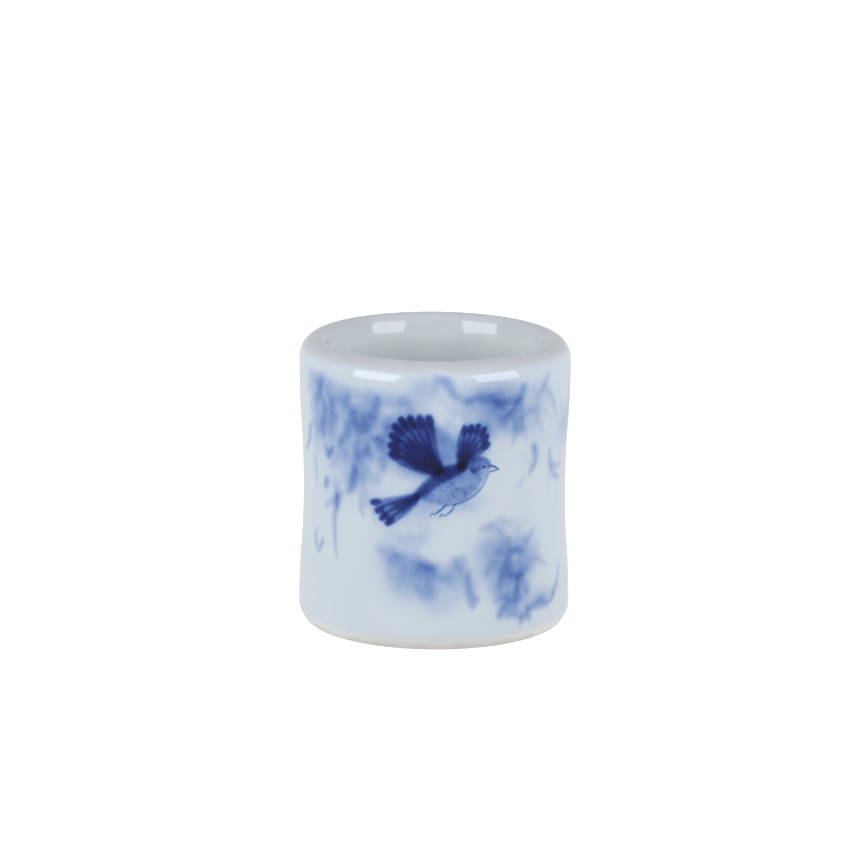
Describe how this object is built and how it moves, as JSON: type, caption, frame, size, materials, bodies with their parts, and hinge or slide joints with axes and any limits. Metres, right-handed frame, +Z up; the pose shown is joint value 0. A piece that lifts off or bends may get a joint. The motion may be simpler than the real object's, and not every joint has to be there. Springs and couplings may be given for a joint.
{
  "type": "brush pot",
  "caption": "Waisted cylindrical porcelain pot with a thick rounded lip, for standing writing brushes in; bird and foliage painted in blue under the glaze.",
  "frame": {"origin": "centre of the flat foot ring, on the plane that the pot stands on", "axes": "+Z up along the pot's axis, -Y out of the front, where the bird is painted, +X to the right when the front is seen"},
  "size_m": [0.09, 0.09, 0.0965],
  "materials": {
    "biscuit": "bare fired porcelain, matt, with a fine grain",
    "painted_glaze": "glossy, faintly blue white, with a soft cobalt blue painting under it",
    "clear_glaze": "glossy, faintly grey green white"
  },
  "bodies": {
    "root": {"porcelain_body": "biscuit", "outer_glaze": "painted_glaze", "inner_glaze": "clear_glaze", "base_glaze": "clear_glaze"}
  },
  "joints": []
}
